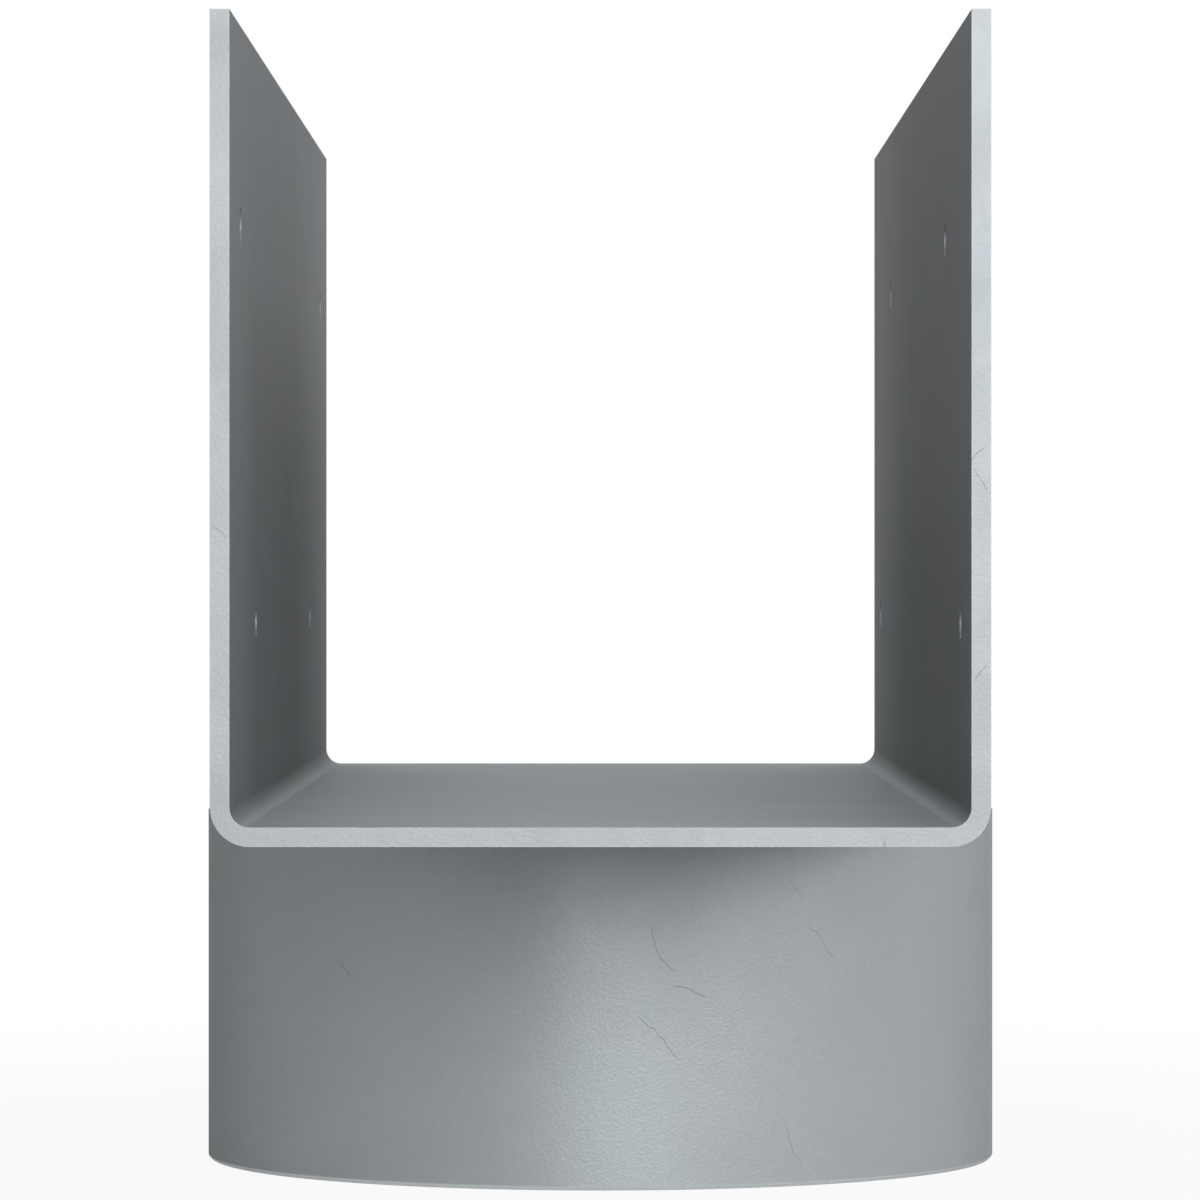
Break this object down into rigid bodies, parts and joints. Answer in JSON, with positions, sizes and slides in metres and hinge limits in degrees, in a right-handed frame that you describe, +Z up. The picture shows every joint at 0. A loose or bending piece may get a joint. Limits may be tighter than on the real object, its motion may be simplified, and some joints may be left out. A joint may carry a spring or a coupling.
{
  "type": "column cap",
  "caption": "Folded steel saddle that cradles a wooden beam, welded on top of a short round sleeve that slips over a steel column.",
  "frame": {"origin": "centre of the sleeve's bottom rim, which is the lowest plane of the part", "axes": "+Z up along the column, +Y along the beam, +X across the saddle, to the right when looking along +Y"},
  "size_m": [0.1142, 0.2922, 0.1549],
  "materials": {
    "folded_plate": "grey paint on steel sheet, satin, with a fine leathery grain",
    "pipe_sleeve": "grey paint on steel pipe, satin, with a fine leathery grain",
    "weld_bead": "grey paint over a rippled weld bead"
  },
  "bodies": {
    "root": {"saddle": "folded_plate", "sleeve": "pipe_sleeve", "front_weld": "weld_bead", "rear_weld": "weld_bead"}
  },
  "joints": []
}
